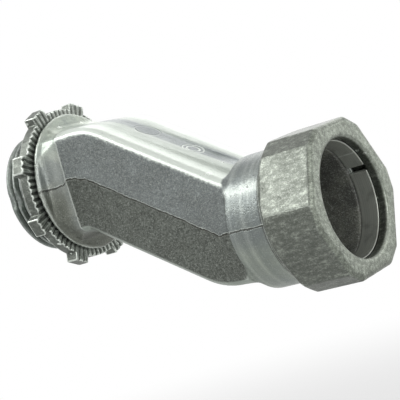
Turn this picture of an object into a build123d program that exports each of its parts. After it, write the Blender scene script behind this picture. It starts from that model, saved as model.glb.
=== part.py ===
"""Offset compression connector for 3/4 inch thin-wall conduit, in millimetres.

Four real pieces: the die-cast offset body, the locknut on its hub, the split compression ring
and the compression nut. The frame sits on the hub's axis at the seat face that meets the box
wall: +X runs towards the conduit, +Z is up, and the conduit's axis lies OFFSET below the hub's.
"""
import os
from math import atan2, degrees, radians, sqrt, tan

from build123d import *

# Standards that the connector is made to
CONDUIT_R = 11.71             # 3/4 inch thin-wall conduit, 23.42 across
HUB_THREAD_R = 13.15          # 3/4 inch hub thread over its crests
OFFSET = 19.05                # 3/4 inch between the two axes

# Clearances, each measured on the radius or square to the faces
THREAD_FIT = 0.05
CONDUIT_FIT = 0.14
SEAT_GAP = 0.10               # ring to each of its two seats
FACE_GAP = 0.30               # locknut to flange, and nut to collar

# Where the body's centre line runs
HUB_RUN = 10.4                # seat face to the first bend
BEND_RUN = 28.9               # from bend to bend, along X
BEND_R = 4.0                  # centre-line radius of both bends

# Hub and flange
HUB_LENGTH = 10.3
HUB_LEAD = 0.9                # bevel on the hub's first thread
FLANGE_REACH = 2.1            # the flange's rim beyond the thread
FLANGE_RIM = 1.0
FLANGE_CROWN = 1.3            # how far the flange's front rises from rim to body
PASSAGE_R = 9.9               # clear way for the wires at both ends
SLANT_STEP = 0.2              # the slope's core between them is this much slimmer
MOUTH_BEVEL = 0.6

# Neck: the flare from the flange to where the side walls run plain
NECK_END = 5.2
NECK_FLARE = 25.0             # degrees out from the walls, towards the flange
NECK_INSET = 0.65             # its corners are turned down to this far inside the flange's rim

# Section of the offset stretch, drafted both ways from the parting line along its sides
SIDE_WALL = 1.5               # beside the passage
CROWN_WALL = 2.1              # above and below it
WALL_DRAFT = 0.3
PARTING_STEP = 0.16           # the two die halves never quite meet
CORNER_IN = 1.3
CORNER_UP = 1.0
CROWN_RISE = 1.2

# Marks of the ejector pins on the upper face, along the slope
EJECTOR_RADII = (1.7, 2.5, 1.7)
EJECTOR_START = 0.7           # first mark after the first bend
EJECTOR_STEP = 10.6
EJECTOR_DEPTH = 0.12

# Collar, gland thread and conduit socket
COLLAR_STEP = 0.45            # the collar's rim beyond the gland's thread
COLLAR_START = 3.5            # after the second bend
COLLAR_LENGTH = 9.1
COLLAR_ROUND = 0.8            # rim of the collar, in two bevels
GLAND_WALL = 1.7              # socket to the crests of the gland's thread
GLAND_LEAD = 0.6
SOCKET_DEPTH = 16.1           # body's mouth to the conduit's stop
SEAT_BEVEL = 1.1              # the ring's seat in the body's mouth

# Compression nut, a hexagon whose corners are cut back
NUT_WALL = 2.05               # bore to the flats
NUT_CORNER_REACH = 1.04       # the cut corners beyond the flats
NUT_LENGTH = 12.2
NUT_LIP_WALL = 1.15
NUT_LIP = 0.8
NUT_FRONT_WALL = 2.05
NUT_BEVEL = 0.7               # round the front face
NUT_BACK_BEVEL = 1.6
NUT_THROAT_FIT = 0.49
NUT_TURN = 4.0                # how far the nut happens to be turned, degrees

# Split compression ring
RING_WALL = 0.95
RING_LENGTH = 4.2
RING_FIT = 0.19               # the open ring stands this far off the conduit
RING_BEVEL = 0.75
RING_SLIT = 1.3
RING_SLIT_TURN = 52.0         # where the slit lies, degrees from +Y towards +Z

# Locknut
LOCKNUT_THICK = 3.0
LOCKNUT_BEVEL = 0.5
LUG_COUNT = 8
LUG_HEIGHT = 1.9
LUG_WIDTH = 4.7
LUG_TAPER = 0.35
LUG_TURN = 23.5               # first lug, degrees from +Y towards +Z
TOOTH_COUNT = 72
TOOTH_START = 0.9             # from the bore to where the teeth begin
TOOTH_LENGTH = 2.55
TOOTH_HEIGHT = 0.45
TOOTH_RECESS = 0.6            # inside the teeth the face lies this much lower
GROOVE_SHARE = 0.62           # of a tooth's pitch

CUT_PAST = 1.0                # how far a cutter reaches past the face it cuts

# The two bends and the slope between them
BEND_1 = Vector(HUB_RUN, 0, 0)
BEND_2 = Vector(HUB_RUN + BEND_RUN, 0, -OFFSET)
BEND_ANGLE = atan2(OFFSET, BEND_RUN)
BEND_TANGENT = BEND_R * tan(BEND_ANGLE / 2)
SLOPE = (BEND_2 - BEND_1).normalized()
SLOPE_LENGTH = (BEND_2 - BEND_1).length
SLOPE_UP = Vector(-SLOPE.Z, 0, SLOPE.X)
MITRE = PASSAGE_R * tan(BEND_ANGLE / 2)

# The offset stretch's section, all round the passage
SLANT_R = PASSAGE_R - SLANT_STEP
WALL_HALF_WIDTH = PASSAGE_R + SIDE_WALL
CROWN_UP = PASSAGE_R + CROWN_WALL
SHOULDER_UP = CROWN_UP - CROWN_RISE
WALL_HALF_HEIGHT = SHOULDER_UP - CORNER_UP

# Radii of the flange and of the locknut, all from the hub's thread
FLANGE_R = HUB_THREAD_R + FLANGE_REACH
LOCKNUT_BORE_R = HUB_THREAD_R + THREAD_FIT
TOOTH_R = LOCKNUT_BORE_R + TOOTH_START
LOCKNUT_R = TOOTH_R + TOOTH_LENGTH
LUG_R = LOCKNUT_R + LUG_HEIGHT

# Radii of the socket, the ring, the gland and the nut, all from the conduit
SOCKET_R = CONDUIT_R + CONDUIT_FIT
GLAND_R = SOCKET_R + GLAND_WALL
COLLAR_R = GLAND_R + COLLAR_STEP
RING_BORE_R = CONDUIT_R + RING_FIT
RING_R = RING_BORE_R + RING_WALL
THROAT_R = CONDUIT_R + NUT_THROAT_FIT
NUT_BORE_R = GLAND_R + THREAD_FIT
NUT_FLAT_R = NUT_BORE_R + NUT_WALL
NUT_CORNER_R = NUT_FLAT_R + NUT_CORNER_REACH
NUT_LIP_R = NUT_BORE_R + NUT_LIP_WALL

# Stations along X: the nut stands off the collar, the ring fits the nut's seat, the body's mouth
# fits the ring. Both seats are cones of 45 degrees.
SEAT_STEP = SEAT_GAP * sqrt(2)
COLLAR_X = BEND_2.X + COLLAR_START
COLLAR_END_X = COLLAR_X + COLLAR_LENGTH
NUT_BACK_X = COLLAR_END_X + FACE_GAP + NUT_LIP
NUT_FRONT_X = NUT_BACK_X + NUT_LENGTH
NUT_SEAT_X = NUT_FRONT_X - NUT_FRONT_WALL
RING_FRONT_X = NUT_SEAT_X + THROAT_R - (RING_R - RING_BEVEL) - SEAT_STEP
RING_BACK_X = RING_FRONT_X - RING_LENGTH
BODY_MOUTH_X = RING_BACK_X + SOCKET_R - (RING_R - RING_BEVEL) - SEAT_STEP + SEAT_BEVEL
STOP_X = BODY_MOUTH_X - SOCKET_DEPTH


def crosswise(place):
    """The plane square to X at a place; a sketch's x lies along +Y and its y along +Z."""
    return Plane(origin=place, x_dir=(0, 1, 0), z_dir=(1, 0, 0))


def along_x(sketch, start_x, end_x, drop=0.0):
    """A prism of a sketch drawn in Y and Z, from start_x to end_x."""
    return extrude(crosswise((start_x, 0, -drop)) * sketch, end_x - start_x)


def turned(outline, drop=0.0):
    """A solid turned from (x, radius) points about the hub's axis, or about one that lies lower."""
    with BuildSketch(Plane.XZ) as profile:
        with BuildLine():
            Polyline(*outline, close=True)
        make_face()
    return Pos(0, 0, -drop) * revolve(profile.sketch, Axis.X, 360)


def casting_section():
    """The offset stretch's section: drafted side walls, bevelled corners and crowned faces."""
    upper = WALL_HALF_WIDTH + PARTING_STEP / 2
    lower = WALL_HALF_WIDTH - PARTING_STEP / 2
    with BuildSketch() as section:
        with BuildLine():
            side = Polyline((lower - WALL_DRAFT - CORNER_IN, -SHOULDER_UP), (lower - WALL_DRAFT, -WALL_HALF_HEIGHT),
                            (lower, 0), (upper, 0),
                            (upper - WALL_DRAFT, WALL_HALF_HEIGHT), (upper - WALL_DRAFT - CORNER_IN, SHOULDER_UP))
            mirror(side, about=Plane.YZ)
            for corner, top in ((side @ 0, -CROWN_UP), (side @ 1, CROWN_UP)):
                ThreePointArc(corner, (0, top), (-corner.X, corner.Y))
        make_face()
    return section.sketch


def bend(section, start, pivot_up):
    """The outer side of a bend: the section beyond the pivot, swung about it by the bend's angle."""
    reach = 4 * WALL_HALF_HEIGHT
    side = -1 if pivot_up > 0 else 1
    beyond = Pos(0, pivot_up + side * reach / 2) * Rectangle(reach, reach)
    pivot = start + Vector(0, 0, pivot_up)
    return revolve(crosswise(start) * (section & beyond), Axis(pivot, (0, 1, 0)), degrees(BEND_ANGLE))


def offset_stretch():
    """The bent stretch between flange and collar, all on one centre line."""
    section = casting_section()
    first_end = BEND_1 - Vector(BEND_TANGENT, 0, 0)
    last_start = BEND_2 + Vector(BEND_TANGENT, 0, 0)
    slope_plane = Plane(origin=BEND_1 + SLOPE * BEND_TANGENT, x_dir=(0, 1, 0), z_dir=SLOPE)
    first = along_x(section, 0, first_end.X)
    middle = extrude(slope_plane * section, SLOPE_LENGTH - 2 * BEND_TANGENT)
    last = along_x(section, last_start.X, COLLAR_X, OFFSET)
    return first + bend(section, first_end, -BEND_R) + middle + bend(section, last_start, BEND_R) + last


def neck():
    """The flare at the root of the offset stretch, cut round where it meets the flange."""
    half_width = WALL_HALF_WIDTH - PARTING_STEP / 2
    with BuildSketch() as outline:
        with BuildLine() as line:
            Polyline((half_width, 0), (half_width - WALL_DRAFT, WALL_HALF_HEIGHT),
                     (half_width - WALL_DRAFT - CORNER_IN, SHOULDER_UP), (0, SHOULDER_UP))
            mirror(line.line, about=Plane.XZ)
            mirror(line.line, about=Plane.YZ)
        make_face()
    back = Plane(origin=(NECK_END, 0, 0), x_dir=(0, -1, 0), z_dir=(-1, 0, 0))
    flare = extrude(back * outline.sketch, NECK_END - FLANGE_RIM / 2, taper=-NECK_FLARE)
    return flare & along_x(Circle(FLANGE_R - NECK_INSET), 0, NECK_END)


def flange_and_hub():
    """The flange with its seat face at x = 0, and the hub that goes through the box wall."""
    face_x = FLANGE_RIM + FLANGE_CROWN
    flange = turned([(0, 0), (0, FLANGE_R), (FLANGE_RIM, FLANGE_R), (face_x, WALL_HALF_HEIGHT), (face_x, 0)])
    hub = turned([(-HUB_LENGTH, 0), (-HUB_LENGTH, HUB_THREAD_R - HUB_LEAD),
                  (HUB_LEAD - HUB_LENGTH, HUB_THREAD_R), (0, HUB_THREAD_R), (0, 0)])
    return flange + hub


def collar_and_gland():
    """The round collar with its rounded rim, and the stub that the compression nut screws on."""
    half_way = COLLAR_ROUND * (1 - sqrt(0.5))
    collar = turned([(COLLAR_X, 0), (COLLAR_X, COLLAR_R - COLLAR_ROUND),
                     (COLLAR_X + half_way, COLLAR_R - half_way), (COLLAR_X + COLLAR_ROUND, COLLAR_R),
                     (COLLAR_END_X, COLLAR_R), (COLLAR_END_X, 0)], OFFSET)
    gland = turned([(COLLAR_END_X, 0), (COLLAR_END_X, GLAND_R), (BODY_MOUTH_X - GLAND_LEAD, GLAND_R),
                    (BODY_MOUTH_X, GLAND_R - GLAND_LEAD / 2), (BODY_MOUTH_X, 0)], OFFSET)
    return collar + gland


def wire_passage():
    """The way through: hub bore, slanted bore and conduit socket with its stop and bevelled mouth."""
    hub_bore = along_x(Circle(PASSAGE_R), -HUB_LENGTH, BEND_1.X + MITRE)
    hub_mouth = turned([(-HUB_LENGTH, 0), (-HUB_LENGTH, PASSAGE_R + MOUTH_BEVEL),
                        (MOUTH_BEVEL - HUB_LENGTH, PASSAGE_R), (MOUTH_BEVEL - HUB_LENGTH, 0)])
    slope_plane = Plane(origin=BEND_1 - SLOPE * MITRE, x_dir=(0, 1, 0), z_dir=SLOPE)
    slanted = extrude(slope_plane * Circle(SLANT_R), SLOPE_LENGTH + 2 * MITRE)
    stop_bore = along_x(Circle(PASSAGE_R), BEND_2.X - MITRE, STOP_X, OFFSET)
    socket = turned([(STOP_X, 0), (STOP_X, SOCKET_R), (BODY_MOUTH_X - SEAT_BEVEL, SOCKET_R),
                     (BODY_MOUTH_X, SOCKET_R + SEAT_BEVEL), (BODY_MOUTH_X, 0)], OFFSET)
    return hub_bore + hub_mouth + slanted + stop_bore + socket


def ejector_marks():
    """Shallow round marks of the ejector pins, square to the slope's upper face."""
    depth_up = CROWN_UP - EJECTOR_DEPTH
    marks = []
    for number, radius in enumerate(EJECTOR_RADII):
        foot = BEND_1 + SLOPE * (EJECTOR_START + number * EJECTOR_STEP) + SLOPE_UP * depth_up
        seat = Plane(origin=foot, x_dir=(0, 1, 0), z_dir=SLOPE_UP)
        marks.append(extrude(seat * Circle(radius), EJECTOR_DEPTH + CUT_PAST))
    return marks


def offset_body():
    """The whole casting."""
    casting = offset_stretch() + neck() + flange_and_hub() + collar_and_gland()
    return casting - wire_passage() - ejector_marks()


def compression_ring():
    """The split ring that the nut squeezes onto the conduit, bevelled at both ends."""
    bevel_r = RING_R - RING_BEVEL
    ring = turned([(RING_BACK_X, RING_BORE_R), (RING_BACK_X, bevel_r), (RING_BACK_X + RING_BEVEL, RING_R),
                   (RING_FRONT_X - RING_BEVEL, RING_R), (RING_FRONT_X, bevel_r), (RING_FRONT_X, RING_BORE_R)])
    slit = Pos(RING_BACK_X + RING_LENGTH / 2, RING_R, 0) * Box(RING_LENGTH + 2 * CUT_PAST, RING_R, RING_SLIT)
    return Pos(0, 0, -OFFSET) * (ring - Rot(RING_SLIT_TURN, 0, 0) * slit)


def nut_outline():
    """The nut's twelve-sided outline: a hexagon with its corners cut back."""
    hexagon = RegularPolygon(NUT_FLAT_R, 6, major_radius=False)
    cut = RegularPolygon(NUT_CORNER_R, 6, major_radius=False, rotation=30)
    return Rot(0, 0, NUT_TURN) * (hexagon & cut)


def compression_nut():
    """The compression nut: hexagon, turned lip at the back, throat and ring seat inside."""
    prism = along_x(nut_outline(), NUT_BACK_X, NUT_FRONT_X, OFFSET)
    prism = chamfer(prism.faces().sort_by(Axis.X)[-1].edges(), NUT_BEVEL)
    outer_r = NUT_CORNER_R + CUT_PAST
    back_cone = turned([(NUT_BACK_X, 0), (NUT_BACK_X, NUT_CORNER_R - NUT_BACK_BEVEL),
                        (NUT_BACK_X + NUT_BACK_BEVEL + CUT_PAST, outer_r), (NUT_FRONT_X, outer_r),
                        (NUT_FRONT_X, 0)], OFFSET)
    lip = turned([(NUT_BACK_X - NUT_LIP, 0), (NUT_BACK_X - NUT_LIP, NUT_LIP_R), (NUT_BACK_X, NUT_LIP_R),
                  (NUT_BACK_X, 0)], OFFSET)
    cone_x = NUT_SEAT_X - (NUT_BORE_R - THROAT_R)
    hollow = turned([(NUT_BACK_X - NUT_LIP, 0), (NUT_BACK_X - NUT_LIP, NUT_BORE_R), (cone_x, NUT_BORE_R),
                     (NUT_SEAT_X, THROAT_R), (NUT_FRONT_X - NUT_BEVEL / 2, THROAT_R),
                     (NUT_FRONT_X, THROAT_R + NUT_BEVEL / 2), (NUT_FRONT_X, 0)], OFFSET)
    return (prism & back_cone) + lip - hollow


def locknut():
    """The locknut: ring, driving lugs and the radial teeth that bite the box wall."""
    front = -FACE_GAP
    inner_face = front - TOOTH_RECESS
    back = front - LOCKNUT_THICK
    nut = turned([(back, 0), (back, LOCKNUT_R - LOCKNUT_BEVEL), (back + LOCKNUT_BEVEL, LOCKNUT_R),
                  (front, LOCKNUT_R), (front, TOOTH_R), (inner_face, TOOTH_R), (inner_face, 0)])
    half_root = LUG_WIDTH / 2
    half_tip = half_root - LUG_TAPER
    with BuildSketch() as lug:
        with BuildLine():
            Polyline((TOOTH_R, -half_root), (LUG_R, -half_tip), (LUG_R, half_tip), (TOOTH_R, half_root), close=True)
        make_face()
    lug_prism = along_x(lug.sketch, back, front)
    for number in range(LUG_COUNT):
        nut += Rot(LUG_TURN + number * 360 / LUG_COUNT, 0, 0) * lug_prism
    nut -= along_x(Circle(LOCKNUT_BORE_R), back, front)
    return nut - tooth_grooves(front)


def tooth_grooves(front):
    """One V groove for each gap between two teeth, all round the locknut's face."""
    half = GROOVE_SHARE * LOCKNUT_R * radians(360 / TOOTH_COUNT) / 2
    with BuildSketch(Plane.XY) as groove:
        with BuildLine():
            Polyline((front - TOOTH_HEIGHT, 0), (front, half), (front + CUT_PAST, half), (front + CUT_PAST, -half),
                     (front, -half), close=True)
        make_face()
    start = TOOTH_R - CUT_PAST
    cutter = Pos(0, 0, start) * extrude(groove.sketch, LUG_R + CUT_PAST - start)
    return [Rot(number * 360 / TOOTH_COUNT, 0, 0) * cutter for number in range(TOOTH_COUNT)]


def main():
    os.makedirs("parts", exist_ok=True)
    pieces = {"offset_body": offset_body, "locknut": locknut, "compression_ring": compression_ring,
              "compression_nut": compression_nut}
    for name, build in pieces.items():
        solid = build()
        solid.label = name
        export_step(solid, f"parts/{name}.step")


main()
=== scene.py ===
"""Looks of the offset compression connector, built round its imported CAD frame.

Run as a script it makes every piece, its finish, the stage and the camera. Lengths are metres.
The hub's axis is X at z = 0; the conduit's axis lies lower, at the nut's middle.
"""
import math

import bmesh
import bpy
from mathutils import Matrix, Vector


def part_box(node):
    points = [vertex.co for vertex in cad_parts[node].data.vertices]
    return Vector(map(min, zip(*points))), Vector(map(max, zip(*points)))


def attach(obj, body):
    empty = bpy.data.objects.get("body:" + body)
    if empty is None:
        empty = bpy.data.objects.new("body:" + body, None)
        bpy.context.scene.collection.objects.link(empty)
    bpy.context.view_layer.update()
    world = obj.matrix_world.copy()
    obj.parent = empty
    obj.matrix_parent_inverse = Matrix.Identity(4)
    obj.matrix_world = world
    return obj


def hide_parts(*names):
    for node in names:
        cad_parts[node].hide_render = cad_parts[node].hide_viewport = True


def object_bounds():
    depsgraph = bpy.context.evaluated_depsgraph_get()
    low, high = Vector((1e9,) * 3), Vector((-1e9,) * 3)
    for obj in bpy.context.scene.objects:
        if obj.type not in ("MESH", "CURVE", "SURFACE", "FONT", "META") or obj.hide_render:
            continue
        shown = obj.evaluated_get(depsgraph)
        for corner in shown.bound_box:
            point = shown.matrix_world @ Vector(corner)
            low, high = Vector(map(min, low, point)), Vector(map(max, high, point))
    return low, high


bl_info = {
    "name": "Offset connector looks",
    "version": (1, 0, 0),
    "blender": (4, 5, 0),
    "location": "View3D > Sidebar > Connector",
    "description": "Castings, threads, ring and finishes of an offset conduit connector",
    "category": "Object",
}

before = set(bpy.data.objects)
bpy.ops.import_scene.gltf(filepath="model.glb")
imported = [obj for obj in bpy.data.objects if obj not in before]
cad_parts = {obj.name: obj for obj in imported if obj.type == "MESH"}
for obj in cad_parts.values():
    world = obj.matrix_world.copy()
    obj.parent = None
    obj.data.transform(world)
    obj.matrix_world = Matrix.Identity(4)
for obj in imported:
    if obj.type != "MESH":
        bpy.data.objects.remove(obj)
CAD_BOUNDS = [list(corner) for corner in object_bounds()]
HUB_END, BODY_MOUTH = (corner[0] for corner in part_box("offset_body"))
LOCKNUT_BACK, LOCKNUT_FRONT = (corner[0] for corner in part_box("locknut"))
NUT_BACK, NUT_FRONT = (corner[0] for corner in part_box("compression_nut"))
RING_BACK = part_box("compression_ring")[0][0]
RING_LOW, RING_HIGH = (corner[2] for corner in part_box("compression_ring"))
CONDUIT_Z = (RING_LOW + RING_HIGH) / 2
HUB_AXIS = Vector((0.0, 0.0, 0.0))
CONDUIT_AXIS = Vector((0.0, 0.0, CONDUIT_Z))
ALONG = Vector((1.0, 0.0, 0.0))
TOUCH = 1e-5

# Each cast thread's taper along X at its end, and its flats' half height and distance from the axis
HUB_LEAD, HUB_FLATS = 0.0009, (0.0013, 0.01268)
GLAND_LEAD, GLAND_FLATS = 0.0010, (0.0012, 0.01322)

# The view: its middle, and the eye's shift to the picture's right and up (below nought: left and down)
VIEW_MIDDLE = Vector((0.04429, 0.0, CONDUIT_Z + 0.00615))
EYE_RIGHT = -0.01236
EYE_UP = -0.00178
SENSOR_WIDTH = 36.0

# Each softbox: name, place from the view's middle, side, and the property that holds its watts
SOFTBOXES = (
    ("Key softbox", (-0.57, -0.45, 0.69), 0.60, "key_power"),
    ("Back softbox", (-0.25, 0.78, 0.57), 0.70, "back_power"),
    ("Side softbox", (0.65, 0.75, 0.10), 0.50, "side_power"),
    ("Front softbox", (0.80, -0.50, 0.33), 0.50, "front_power"),
)
FLOOR_RADIUS = 8.0

# Soft edges of the casting's looks, from and to, among them the painted shade under the neck, the painted
# highlight on the neck's top and the painted light on the collar's lower side. Along X:
DIP_BEGINS = (0.0044, 0.0054)
DIP_ENDS = (0.0074, 0.0098)
NECK_DARK_ENDS = (0.0034, 0.0056)
NECK_PALE_ENDS = (0.004, 0.010)
COLLAR_BEGINS = (0.030, 0.031)
COLLAR_PALE_BEGINS = (0.042, 0.043)
# Over the bent centre line:
CROWN_BEGINS = (0.0088, 0.0092)
NECK_DARK_TOP = (-0.004, 0.003)
NECK_PALE_BOTTOM = (0.004, 0.010)
COLLAR_PALE_TOP = (-0.006, -0.001)
# Out from the middle plane, for the painted highlights along the crown's edges and the neck's ridge:
SHINE_BEGINS = (0.0040, 0.0104)
RIDGE_BEGINS = (0.0098, 0.0108)

# Fine lines: place, half width and soft edge. Over the parting line, the seam's painted shadow under the step
# and the lip's painted highlight over it:
SEAM = (-0.00014, 0.00006, 0.00024)
LIP = (0.00012, 0.00002, 0.00014)
# Over the conduit's axis, for the collar's painted highlight smear, and from the crown's middle, for its
# painted reflection band:
SMEAR = (CONDUIT_Z + 0.00785, 0.0003, 0.0014)
CROWN_REFLECTION_BAND = (0.0003, 0.0013, 0.0020)

# The parting line's wander, its raggedness, its dip beside the neck and its step
PARTING_WANDER = 0.0010
PARTING_RAGGED = 0.0006
PARTING_DIP = 0.0009
PARTING_STEP = 0.00016
# How far the fold, the neck's ridge, the smear and the crown's band stray
FOLD_RAGGED = 0.0002
RIDGE_RAGGED = 0.0005
SMEAR_RAGGED = 0.0016
BAND_WANDER = 0.0045

# Each ejector pin's mark: along the slope, radius, share of its flat's tint, share of its ring's painted
# highlight
PIN_MARKS = (
    (0.0057, 0.0028, 0.65, 0.12),
    (0.0177, 0.0023, 0.10, 0.45),
    (0.0177, 0.0014, 0.40, 0.60),
)

# Factors on a finish's own colour
PALER_SKIN = (1.20, 1.21, 1.22)
DARK_SPOT = (0.50, 0.51, 0.50)
LIGHT_SPOT = (1.60, 1.62, 1.58)
FRECKLE = (0.45, 0.46, 0.44)
HUB_SIDE = (1.22, 1.22, 1.20)
COLLAR_SIDE = (0.72, 0.75, 0.77)
# Painted light: the collar's lower side made lighter
LOW_COLLAR = (1.45, 1.45, 1.32)
# Painted highlight on the neck's top
HIGH_NECK = (1.5, 1.55, 1.45)
PASSAGE_BLOTCH = (1.9, 1.9, 1.8)
DARK_CAST = (0.62, 0.62, 0.60)
LIGHT_CAST = (1.30, 1.30, 1.28)
CAST_FRECKLE = (0.40, 0.40, 0.38)
FRONT_FACE = (1.45, 1.47, 1.42)
# Painted glints: bright flecks on the smaller pieces' skin
CAST_SPARKLE = (2.5, 2.5, 2.45)
TURNED_STEEL = (1.7, 1.7, 1.65)

# Scale that draws a smaller piece's mottle out along X
DRAWN = (0.45, 1.0, 1.0)


def length(name, text, value):
    return bpy.props.FloatProperty(name=name, description=text, default=value, min=0.0, precision=5,
                                   subtype="DISTANCE", unit="LENGTH")


def angle(name, text, degrees):
    return bpy.props.FloatProperty(name=name, description=text, default=math.radians(degrees),
                                   subtype="ANGLE")


def level(name, text, value, highest=1000.0):
    return bpy.props.FloatProperty(name=name, description=text, default=value, min=0.0, max=highest)


def tone(name, text, value):
    return bpy.props.FloatVectorProperty(name=name, description=text, default=value, size=3,
                                         min=0.0, max=1.0, subtype="COLOR")


class ConnectorSizes(bpy.types.PropertyGroup):
    """Sizes of the threads, bends, trims and remesh cells."""
    hub_crest: length("Hub thread radius", "Over the crests of the hub's thread", 0.01315)
    hub_root: length("Hub root radius", "At the roots of the hub's thread", 0.01208)
    hub_pitch: length("Hub pitch", "From thread to thread, 14 to the inch", 0.0254 / 14)
    gland_crest: length("Gland thread radius", "Over the crests of the gland's thread", 0.01355)
    gland_root: length("Gland root radius", "At the roots of the gland's thread", 0.01275)
    gland_pitch: length("Gland pitch", "From thread to thread, 16 to the inch", 0.0254 / 16)
    thread_gap: length("Thread clearance", "Between a thread and the one that it turns in", 0.00005)
    thread_start: length("Thread start", "How far the hub's first crest lies from its end", 0.00005)
    collar_end: length("Collar's end", "Along X, where the gland's thread begins", 0.0519)
    mouth_rim: length("Mouth's rim", "The mouth's corners further out than this are its outer rim", 0.0131)
    first_bend: length("First bend", "Along X, where the offset stretch begins to fall", 0.0104)
    second_bend: length("Second bend", "Along X, where it runs level again", 0.0393)
    neck_end: length("Neck's end", "Along X, where the side walls begin", 0.0052)
    shoulder_up: length("Shoulder height", "From the centre line to the crown's edges", 0.0108)
    crown_from: length("Crown from", "Faces further off the centre line than this are crowned", 0.0101)
    crown_half: length("Crown's half width", "From the middle plane to the crown's edges", 0.00979)
    crown_rise: length("Crown's rise", "Of the solid's crowned faces over their edges", 0.0012)
    crown_share: level("Crown's share", "Of the solid's crowning that the cast skin keeps", 0.25, 1.0)
    mark_floor: length("Pin mark floor", "Of the solid's pin marks, over the slope's centre line", 0.01188)
    mark_depth: length("Pin mark depth", "How deep the solid's pin marks are", 0.00012)
    bend_run: length("Bend's run", "Along the slope, where the first bend is over", 0.0012)
    bend_round: length("Bend's radius", "Radius of the first bend's outer side", 0.016)
    bend_blend: length("Bend's blend", "Over which the crown's flattening turns with the bends", 0.006)
    collar_start: length("Collar's start", "Along X, where the offset stretch ends", 0.0428)
    fold_out: length("Fold's reach", "From the middle plane to the fold between side and crown", 0.01112)
    lug_trim: length("Lug trim", "How much shorter the worn lugs are than the solid's", 0.0004)
    nut_bevel_trim: length("Nut's rear bevel", "How much smaller it is than the solid's", 0.0010)
    nut_bevel_zone: length("Rear bevel's zone", "Along X, within which the rear bevel's corners lie", 0.003)
    nut_lip: length("Nut's lip", "How far the lip stands off the nut's back face", 0.0008)
    nut_lip_r: length("Nut's lip radius", "Of the turned lip behind the nut", 0.0152)
    nut_lip_zone: length("Lip's zone", "How far inside the rear bevel the solid's lip lies", 0.0006)
    nut_back_r: length("Nut's back radius", "Of the solid's rear bevel at the back face", 0.01509)
    nut_flat_r: length("Nut's flats", "From the conduit's axis to the flats", 0.01565)
    socket_stop: length("Conduit stop", "Along X, where the conduit's end comes to rest", 0.043517)
    passage_reach: length("Passage wall", "Faces nearer the centre line than this line the passage", 0.01035)
    socket_reach: length("Socket wall", "Faces nearer the conduit's axis than this line the socket", 0.0123)
    ring_turn: angle("Ring's turn", "How far the loose ring has turned on its axis", -28.0)
    body_cell: length("Body cell", "Cell of the remesh that rounds the casting's folds", 0.00038)
    locknut_cell: length("Locknut cell", "Cell of the remesh that rounds the locknut's teeth", 0.00018)
    nut_cell: length("Nut cell", "Cell of the remesh that rounds the nut's edges", 0.00025)
    ring_cell: length("Ring cell", "Cell of the remesh that rounds the split ring's edges", 0.00015)


class ConnectorFinishes(bpy.types.PropertyGroup):
    """Colours of the metals and of the floor."""
    side_upper: tone("Side above the parting", "Blue-grey cast skin", (0.172, 0.188, 0.184))
    shaded_side_lower: tone("Side below the parting", "Darker with painted shade, browner cast skin", (0.113, 0.122, 0.108))
    crown: tone("Crowned faces", "Bright satin skin above and below", (0.300, 0.335, 0.295))
    # Painted reflection: the blue-grey band along the crown's middle
    crown_reflection_band: tone("Crown's reflection band", "Painted blue-grey reflection band along the crown's middle", (0.115, 0.135, 0.138))
    crown_streak: tone("Crown's streaks", "Fine dark streaks along the crown", (0.105, 0.125, 0.130))
    pin_flat: tone("Pin marks", "Dull flat inside a pin's mark", (0.100, 0.120, 0.122))
    turned: tone("Round parts", "Flange, neck and collar", (0.240, 0.256, 0.236))
    turned_blotch: tone("Blotches", "Soft blotches on the round parts", (0.150, 0.170, 0.170))
    turned_reflection_hoop: tone("Reflection hoops", "Painted dark reflection hoops round the round parts", (0.11, 0.13, 0.13))
    neck_low_shade: tone("Neck's underside shade", "Painted shade under the neck", (0.088, 0.094, 0.074))
    # Dull, and painted darker than the outer skin as the shade inside the bore
    passage: tone("Passage", "Dull skin inside the casting", (0.115, 0.120, 0.108))
    nut: tone("Nut", "Cast skin of the compression nut", (0.152, 0.165, 0.146))
    locknut: tone("Locknut", "Cast skin of the locknut", (0.128, 0.140, 0.126))
    thread: tone("Threads", "Cast skin of the hub and its threads", (0.165, 0.185, 0.176))
    ring: tone("Ring", "Steel of the split ring", (0.310, 0.325, 0.298))
    ring_stain: tone("Ring's stains", "Dark stains on the split ring", (0.10, 0.10, 0.09))
    # Rubbed wear on edges, and also the colour of the painted highlights, glints and bright reflection
    # streaks
    wear_and_highlight: tone("Wear and painted highlights", "Metal rubbed bright, and painted highlights and glints", (0.74, 0.79, 0.73))
    # Residue in pits and specks, and also the colour of painted shade in corners and of painted shadows along
    # the parting seam and the gap before the nut
    residue_and_shade: tone("Residue and painted shade", "Dark residue in pits, and painted shade in corners, the seam and gaps", (0.045, 0.045, 0.038))
    floor: tone("Floor", "Plain pale floor", (0.86, 0.86, 0.86))


class ConnectorStudio(bpy.types.PropertyGroup):
    """The camera and the lamps."""
    azimuth: angle("Camera azimuth", "Round Z from the -Y side towards +X", 34.83)
    elevation: angle("Camera elevation", "Above the horizon", 0.469)
    roll: angle("Camera roll", "About the line of sight", 16.382)
    distance: length("Camera distance", "From the eye to the middle of the view", 0.3104)
    focal: level("Focal length", "Millimetres, for a sensor 36 wide", 136.9)
    key_power: level("Key lamp", "Watts of the softbox above, on the hub's side", 5.6)
    back_power: level("Back lamp", "Watts of the softbox above and behind", 1.9)
    side_power: level("Side lamp", "Watts of the softbox beyond the nut", 1.5)
    front_power: level("Front lamp", "Watts of the softbox that looks into the nut", 3.0)
    ambient: level("Ambient", "Strength of the plain surroundings on the object", 0.40)
    floor_drop: length("Floor below", "From the object's lowest point down to the floor", 0.045)


def sizes():
    return bpy.context.scene.connector_sizes


def finishes():
    return bpy.context.scene.connector_finishes


# Lines and directions

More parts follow.
